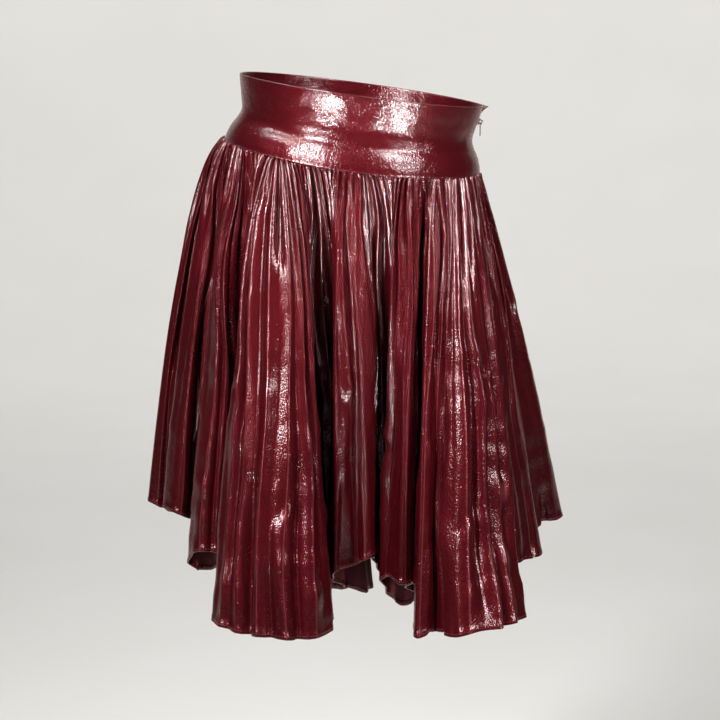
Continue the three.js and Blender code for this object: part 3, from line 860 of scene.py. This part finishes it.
def grid_of(thing, shape):
    """The points of a grid's mesh in mm, as rows and columns."""
    points = np.empty(shape[0] * shape[1] * 3, np.float32)
    thing.data.vertices.foreach_get("co", points)
    return points.reshape(*shape, 3).astype(float) / MM


def pleated_panel(thing, grid, creases, values):
    """The shell of one panel. The sheet that it was made from is removed."""
    knot, way, pleat, _ = grid
    smooth = grid_of(thing, way.shape)
    smooth_normals = sheet_normals(smooth)
    room = room_for_pleats(smooth)
    run_tree(thing, pleats, {"Material": coated, **values})
    points = grid_of(thing, way.shape)
    crumple = np.empty(way.size, np.float32)
    thing.data.attributes["crumple"].data.foreach_get("value", crumple)
    reach = len(PLEAT_SHARES)
    for at_pleat, at_down, *sizes in creases:
        row = np.argmin(np.abs(way[:, 0] - at_down))
        column = int(at_pleat * reach)
        pitch = np.linalg.norm(points[row, column + reach] - points[row, column])
        across = (pleat - at_pleat) * pitch
        relief = crease_relief(across, (way - at_down) * PANEL_LENGTH, *sizes)
        points += smooth_normals * (relief * room)[..., None]
    rows, columns = way.shape
    walls = np.full(rows, SKIRT_WALL)
    walls[-len(HEM_WALLS):] = HEM_WALLS
    half_wall = smooth_normals * walls[:, None, None] / 2
    outer, inner = (points + half_wall) * MM, (points - half_wall) * MM
    first_hem_row = rows - len(HEM_ROWS)
    kept = [*range(0, first_hem_row, INNER_ROW_STEP), *range(first_hem_row, rows)]
    name = thing.name
    bpy.data.objects.remove(thing)
    attributes = {"pleat": pleat, "crumple": crumple.reshape(way.shape), "way_down": way}
    shell = shell_object(name, outer, inner, kept, [coated, reverse], 1, attributes)
    inner_faces = [p for p in shell.data.polygons if p.material_index == 1]
    for turned_up in inner_faces[-(len(HEM_ROWS) - 1) * (columns - 1):]:
        turned_up.material_index = 0
    return shell, outer, smooth_normals


front, front_outer, front_normals = pleated_panel(front_sheet, front_grid, FRONT_CREASES, {"Seed": 3.0})
back, back_outer, back_normals = pleated_panel(back_sheet, back_grid, BACK_CREASES, {"Seed": 8.0})

# %% [markdown]
# ## The waistband
#
# The band is two layers of the same cloth over stiffening, cut to the shape of the hips, so it
# stays smooth where the skirt is full of folds. Its edges are folded and rounded. It is not
# quite even: it crumples softly where the wearer bends, and the seam below draws it into small
# puckers.

# %% The two halves of the band
BAND_COLUMNS = 260
BAND_FACE_ROWS = 54
EDGE_ROWS = (0.0, 0.06, 0.25, 0.55, 0.9)   # mm from an edge, where it rounds
EDGE_RADIUS = BAND_WALL / 2
EDGE_ROUNDNESS = 0.98
EDGE_FLARE = 1.3                   # how far the lower edge stands out over the gathers
EDGE_FLARE_HEIGHT = 10
EDGE_FLARE_POWER = 1.5
PUCKER_MM = 0.4
PUCKER_PITCH = 4.9
PUCKER_HEIGHT = 4.5
PUCKER_DRIFT = (0.6, 9)            # in pitches, and mm along the band
CALM_EDGE_MM = 6                   # without relief at the top edge and the side seams
CALM_SIDE_DEG = 4
LOWER_SHARE = 0.9
INNER_SHARE = 0.6                  # of the relief, on the inner face
MM_PER_RADIAN = (BAND_RINGS[3, 1] + BAND_RINGS[3, 2]) / 2   # around the waist

# height mm, length mm along the band, length mm down it, shift
BAND_WAVES = [(0.45, 34, 16, 0), (0.18, 11, 9, 5)]

# angle, mm below the top edge, length mm, lean in degrees, depth mm, width mm
BAND_CREASES = [
    (-44, 43, 95, 84, 0.9, 5), (-14, 46, 80, 88, 0.8, 4), (22, 47, 110, 90, 0.8, 5),
    (58, 46, 90, 93, 0.7, 5), (-30, 22, 60, 70, 0.5, 6), (8, 30, 55, 104, 0.4, 5),
    (40, 20, 50, 78, 0.4, 6), (72, 28, 60, 100, 0.5, 6), (118, 44, 90, 88, 0.8, 5),
    (150, 46, 110, 92, 0.8, 5), (196, 46, 100, 88, 0.8, 5), (238, 44, 90, 93, 0.8, 5),
    (134, 24, 60, 74, 0.5, 6), (180, 28, 60, 102, 0.4, 6), (222, 22, 60, 80, 0.5, 6),
]


def band_half(name, first_deg, last_deg):
    """The shell of half of the band."""
    half_gap = math.degrees(SEAM_GAP / 2 / BAND_RINGS[3, 2])
    face_rows = np.linspace(EDGE_RADIUS, BAND_HEIGHT - EDGE_RADIUS, BAND_FACE_ROWS)
    edge = np.array(EDGE_ROWS)
    drops = np.concatenate([edge, face_rows, (BAND_HEIGHT - edge)[::-1]])
    angle, drop = np.meshgrid(np.linspace(first_deg + half_gap, last_deg - half_gap, BAND_COLUMNS), drops)
    arc = np.radians(angle) * MM_PER_RADIAN
    above_seam = BAND_HEIGHT - drop
    from_edge = np.minimum(drop, above_seam)
    inside = np.clip(1 - from_edge / EDGE_RADIUS, 0, 1)
    rounding = EDGE_RADIUS * (1 - np.sqrt(1 - (EDGE_ROUNDNESS * inside) ** 2))
    relief = 0 * arc
    for i, (height, along, down, shift) in enumerate(BAND_WAVES):
        relief += height * value_noise(BAND_SEED + i, arc / along, drop / down + shift)
    drift = PUCKER_DRIFT[0] * value_noise(BAND_SEED + len(BAND_WAVES), arc / PUCKER_DRIFT[1], 0 * arc)
    ripple = 0.5 - 0.5 * np.cos(2 * np.pi * (arc / PUCKER_PITCH + drift))
    relief -= PUCKER_MM * ripple * np.exp(-above_seam / PUCKER_HEIGHT)
    for at_deg, at_drop, *sizes in BAND_CREASES:
        relief += crease_relief(np.radians(angle - at_deg) * MM_PER_RADIAN, drop - at_drop, *sizes)
    from_side = np.minimum(angle - first_deg, last_deg - angle)
    calm = np.clip(from_edge / CALM_EDGE_MM, 0, 1) * np.clip(from_side / CALM_SIDE_DEG, 0, 1)
    near_seam = np.maximum(calm, LOWER_SHARE * (above_seam > 1))
    relief *= np.where(drop > BAND_HEIGHT / 2, near_seam, calm)
    relief += EDGE_FLARE * np.clip(1 - above_seam / EDGE_FLARE_HEIGHT, 0, 1) ** EDGE_FLARE_POWER
    outer = band_points(angle, drop, rounding - relief) * MM
    inner = band_points(angle, drop, BAND_WALL - rounding - INNER_SHARE * relief) * MM
    flat = {"pleat": 0 * angle, "way_down": 0 * angle}
    shell = shell_object(name, outer, inner, list(range(len(drops))), [coated], 0, flat)
    return shell, outer, drops


band_front, band_front_outer, band_drops = band_half("waistband_front_cloth", -90, 90)
band_back, band_back_outer, _ = band_half("waistband_back_cloth", 90, 270)

# %% [markdown]
# ## Stitches, with Geometry Nodes
#
# The hem is topstitched 3 mm above its edge, and small stitches show along the band's seam. A
# machine sets them at an even pitch along a line, which is a rule, so a tree lays them: it
# walks along a path in equal steps and puts one bead of thread on each. The path's points say
# which way a bead lies and which way is out. The teeth of the zip's coil are laid the same way.

# %% The tree of the stitches
BEAD_INPUTS = {
    "Pitch": ("NodeSocketFloat", 0.003),
    "Length": ("NodeSocketFloat", 0.0022),
    "Thickness": ("NodeSocketFloat", 0.0006),
    "Material": ("NodeSocketMaterial", None),
}

beads, given = start_tree("beads_along_a_path", BEAD_INPUTS)
curve = add_node(beads, "GeometryNodeMeshToCurve", {"Mesh": given["Geometry"]}).outputs[0]
stepped = add_node(
    beads, "GeometryNodeResampleCurve", {"Curve": curve, "Length": given["Pitch"]}, mode="LENGTH").outputs[0]
bead = add_node(
    beads, "GeometryNodeMeshUVSphere", {"Segments": 6, "Rings": 4, "Radius": 0.5}).outputs[0]
turned = add_node(
    beads, "FunctionNodeAxesToRotation",
    {"Primary Axis": named(beads, "lay", "FLOAT_VECTOR"),
     "Secondary Axis": named(beads, "out", "FLOAT_VECTOR")},
    primary_axis="X", secondary_axis="Z").outputs[0]
bead_size = add_node(
    beads, "ShaderNodeCombineXYZ",
    {"X": given["Length"], "Y": given["Thickness"], "Z": given["Thickness"]}).outputs[0]
laid = add_node(
    beads, "GeometryNodeInstanceOnPoints",
    {"Points": stepped, "Instance": bead, "Rotation": turned, "Scale": bead_size}).outputs[0]
smoothed = add_node(beads, "GeometryNodeSetShadeSmooth", {"Geometry": laid}).outputs[0]
end_tree(beads, smoothed, given["Material"])


def bead_row(name, points, lay_to, out_to, **values):
    """Beads along a path, given in metres with the directions that they lie in and face."""
    mesh = bpy.data.meshes.new(name)
    steps = np.arange(len(points) - 1)
    mesh.from_pydata(points.tolist(), np.stack([steps, steps + 1], axis=1).tolist(), [])
    for key, vectors in (("lay", lay_to), ("out", out_to)):
        layer = mesh.attributes.new(key, "FLOAT_VECTOR", "POINT")
        layer.data.foreach_set("vector", np.ascontiguousarray(vectors.reshape(-1), np.float32))
    thing = linked(name, mesh)
    run_tree(thing, beads, values)
    return counted(thing)


# %% [markdown]
# The thread is spun polyester in the cloth's colour. It is less glossy than the film, with a
# fine twist that catches a spark here and there.

# %% Thread, and the rows of stitches
HEM_STITCH_ROW = -4                 # the row 3 mm above the edge
SEAM_STITCH_DROP = 69.4
SEAM_STITCH = {"Length": 0.0016, "Thickness": 0.0005}
TWIST_SIZE = 0.0004

thread, tree, shader, place = start_material("thread_polyester_spun", Sheen_Weight=0.2, Sheen_Roughness=0.4)
twist = noise(tree, place, 1 / TWIST_SIZE)
tree.links.new(two_tints(tree, twist, "#4c0a16", "#8a2a36"), shader["Base Color"])
tree.links.new(ramp(tree, twist, 0.0, 1.0, 0.3, 0.6), shader["Roughness"])


def stitches(name, points, out_to=None, **sizes):
    """A row of stitches that lie along a path. They face level where no direction is given."""
    lie_to = np.gradient(points, axis=0)
    out_to = np.cross(lie_to, (0, 0, 1.0)) if out_to is None else out_to
    return bead_row(name, points, lie_to, out_to, Material=thread, **sizes)


hem_front = stitches("hem_stitches_front", front_outer[HEM_STITCH_ROW], front_normals[HEM_STITCH_ROW])
hem_back = stitches("hem_stitches_back", back_outer[HEM_STITCH_ROW], back_normals[HEM_STITCH_ROW])
seam_row = np.argmin(np.abs(band_drops - SEAM_STITCH_DROP))
seam_front = stitches("seam_stitches_front", band_front_outer[seam_row], **SEAM_STITCH)
seam_back = stitches("seam_stitches_back", band_back_outer[seam_row], **SEAM_STITCH)

# %% [markdown]
# ## The zip
#
# The zip in the side seam is of the concealed kind: the tape lies inside, and from outside only
# the slider shows near the top, with its pull. The tape is a narrow ribbon woven in twill, with
# a polyester coil down its middle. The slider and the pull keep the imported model's shape, and
# get a lacquer that is rubbed off at their high spots.

# %% The tape and its coil
TAPE_TOP = 4
TAPE_WALL = 1
TAPE_HALF_DEG = 6
TAPE_DOWN = (0.02, 0.24)            # shares of the skirt's way down, from and to
TAPE_SKIRT_INSET = 4.5
TAPE_COLUMNS = 25
TAPE_BAND_ROWS = 40
TAPE_SKIRT_ROWS = 44
TWILL_SIZE = 0.024                  # of Blender's wave, which has 20 bands in it
TWILL_TURN = (math.radians(45), 0, 0)
COIL = {"Pitch": 0.0013, "Length": 0.0042, "Thickness": 0.0009}

across_tape = np.linspace(-1, 1, TAPE_COLUMNS)
side, drop = np.meshgrid(across_tape, np.linspace(TAPE_TOP, BAND_HEIGHT, TAPE_BAND_ROWS))
in_band, in_band_back = (
    band_points(90 + TAPE_HALF_DEG * side, drop, BAND_WALL + SEAM_GAP + wall) for wall in (0, TAPE_WALL))
side, down = np.meshgrid(across_tape, np.linspace(*TAPE_DOWN, TAPE_SKIRT_ROWS))
in_skirt = sheet_points(np.full_like(down, SIDE_KNOT), down)
in_skirt[..., 0] -= TAPE_SKIRT_INSET
in_skirt[..., 1] += side * math.radians(TAPE_HALF_DEG) * BAND_RINGS[0, 2]
tape_outer = np.concatenate([in_band, in_skirt]) * MM
tape_inner = np.concatenate([in_band_back, in_skirt - np.array([TAPE_WALL, 0, 0])]) * MM

tape, tree, shader, place = start_material("tape_polyester_twill", Sheen_Weight=0.25, Sheen_Roughness=0.4)
slanted = add_node(tree, "ShaderNodeMapping", {"Vector": place, "Rotation": TWILL_TURN}).outputs[0]
twill = add_node(
    tree, "ShaderNodeTexWave", {"Vector": slanted, "Scale": 1 / TWILL_SIZE, "Distortion": 0.6},
    bands_direction="Z").outputs["Fac"]
tree.links.new(two_tints(tree, twill, "#34101a", "#54202a"), shader["Base Color"])
tree.links.new(ramp(tree, twill, 0.0, 1.0, 0.7, 0.9), shader["Roughness"])
tree.links.new(bump(tree, twill, 0.0002), shader["Normal"])

tape_rows = list(range(len(tape_outer)))
zip_cloth = shell_object("zip_tape_woven", tape_outer, tape_inner, tape_rows, [tape], 0, {})
middle = tape_inner[:, TAPE_COLUMNS // 2]
sideways, facing = (np.broadcast_to(np.array(way), middle.shape) for way in ([0, 1.0, 0], [-1.0, 0, 0]))
zip_coil = bead_row("zip_coil", middle, sideways, facing, Material=thread, **COIL)

# %% Lacquered metal on the slider and its pull
WEAR_SIZE = 0.0016

metal, tree, shader, place = start_material("zinc_lacquered_dark_red", Metallic=0.5, Coat_Weight=0.3)
wear = noise(tree, place, 1 / WEAR_SIZE, 3.0)
high_spot = ramp(tree, add_node(tree, "ShaderNodeNewGeometry").outputs["Pointiness"], 0.5, 0.56)
rubbed_off = calc(tree, "MULTIPLY", high_spot, wear)
tree.links.new(two_tints(tree, rubbed_off, "#330b11", "#6e4a48"), shader["Base Color"])
tree.links.new(ramp(tree, wear, 0.0, 1.0, 0.22, 0.42), shader["Roughness"])
for name in ("zip_slider", "zip_pull"):
    for material_slot in bpy.data.objects[name].material_slots:
        material_slot.material = metal
print("nodes on the metal:", len(tree.nodes))

# %% [markdown]
# ## Light and floor
#
# The photograph has two tall soft lights, one on each side of the camera, that draw a bright
# upright streak on every rounded form. Little light comes from elsewhere, so the valleys stay
# nearly black. Two small ones from low down catch the bulge of the band above its seam, one
# from high on the left touches the tops of the flutes, and two more light the back. The floor
# is pale paper that sweeps up into a wall far behind the skirt. A wide lamp of its own washes
# that wall, and faces away from the skirt, so that it adds no grey to the dark red.

# %% Lights
BODY = (0, 0, -0.2)
WAIST = (0, 0, 0)
WALL = (0, 6.5, 0.2)
WORLD_STRENGTH = 0.04

# name, azimuth, height, distance, width and height of the lamp, watts, spread, what it is aimed at
LIGHTS = [
    ("light_left", -29, 1.35, 2.0, (0.2, 2.3), 21, 64, BODY),
    ("light_right", 44, 1.35, 2.0, (0.16, 2.3), 14, 64, BODY),
    ("light_low_left", -27, -0.72, 1.5, (0.16, 0.35), 0.45, 16, WAIST),
    ("light_low_right", 28, -0.72, 1.5, (0.12, 0.35), 0.3, 16, WAIST),
    ("light_top_left", -72, 1.9, 1.5, (1.2, 0.2), 6, 90, BODY),
    ("light_back_left", -150, 2.0, 1.5, (0.3, 1.6), 20, 180, BODY),
    ("light_back_right", 152, 2.0, 1.5, (0.2, 1.6), 15, 180, BODY),
    ("light_wall", 180, 2.6, 3.4, (9.0, 0.8), 270, 180, WALL),
]
for name, azimuth, height, distance, size, watts, spread, aim in LIGHTS:
    lamp = bpy.data.lights.new(name, "AREA")
    lamp.shape = "RECTANGLE"
    lamp.size, lamp.size_y = size
    lamp.energy = watts
    lamp.spread = math.radians(spread)
    light = linked(name, lamp)
    turn = math.radians(azimuth)
    light.location = (distance * math.sin(turn), -distance * math.cos(turn), height)
    light.rotation_euler = (Vector(aim) - light.location).to_track_quat("-Z", "Y").to_euler()

world = bpy.data.worlds.new("studio")
world.use_nodes = True
background = world.node_tree.nodes["Background"].inputs
background["Color"].default_value = linear("#f2f1ee")
background["Strength"].default_value = WORLD_STRENGTH
scene.world = world
scene.view_settings.view_transform = "Standard"
print("lights:", len(LIGHTS))

# %% The paper floor and its sweep
FLOOR_DEPTH = -1.05
FLOOR_FRONT = -7.0
WALL_PLACE = 6.5
WALL_TOP = 3.5
SWEEP_RADIUS = 2.5
SWEEP_ROWS = 25
PAPER_HALF_WIDTH = 9.0

sweep = np.radians(np.linspace(0, 90, SWEEP_ROWS))
profile_y = [FLOOR_FRONT, *(WALL_PLACE - SWEEP_RADIUS + SWEEP_RADIUS * np.sin(sweep)), WALL_PLACE]
profile_z = [FLOOR_DEPTH, *(FLOOR_DEPTH + SWEEP_RADIUS - SWEEP_RADIUS * np.cos(sweep)), WALL_TOP]
profile = np.stack([np.zeros(len(profile_y)), profile_y, profile_z], axis=-1)
edges = np.array([[PAPER_HALF_WIDTH, 0, 0], [-PAPER_HALF_WIDTH, 0, 0]])
floor = add_mesh("floor", profile[:, None] + edges, grid_faces(len(profile), 2)[:, ::-1])
floor.data.shade_smooth()
paper, tree, shader, place = start_material("paper_background_matt", Roughness=0.9)
tree.links.new(two_tints(tree, noise(tree, place, 3.0, 2.0), "#cbc9c5", "#d1cfcc"), shader["Base Color"])
floor.data.materials.append(paper)
print("paper:", len(floor.data.polygons), "faces")

# %% [markdown]
# ## What rides on what
#
# Every piece rides on a body of the imported model. The cloth stands for its plain solids, which are hidden.

# %% Ride and replace
# piece, slot of its material, node that it stands for
PIECES = [
    (front, "coated_cloth", "skirt_front"),
    (back, "coated_cloth", "skirt_back"),
    (band_front, "coated_cloth", "waistband_front"),
    (band_back, "coated_cloth", "waistband_back"),
    (hem_front, "coated_cloth", None),
    (hem_back, "coated_cloth", None),
    (seam_front, "coated_cloth", None),
    (seam_back, "coated_cloth", None),
    (zip_cloth, "zip_tape", "zip_tape"),
    (zip_coil, "zip_tape", None),
]
for piece, slot, node in PIECES:
    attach(piece, "skirt")
    if node:
        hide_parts(node)

print("pieces that ride on the skirt:", len(PIECES))
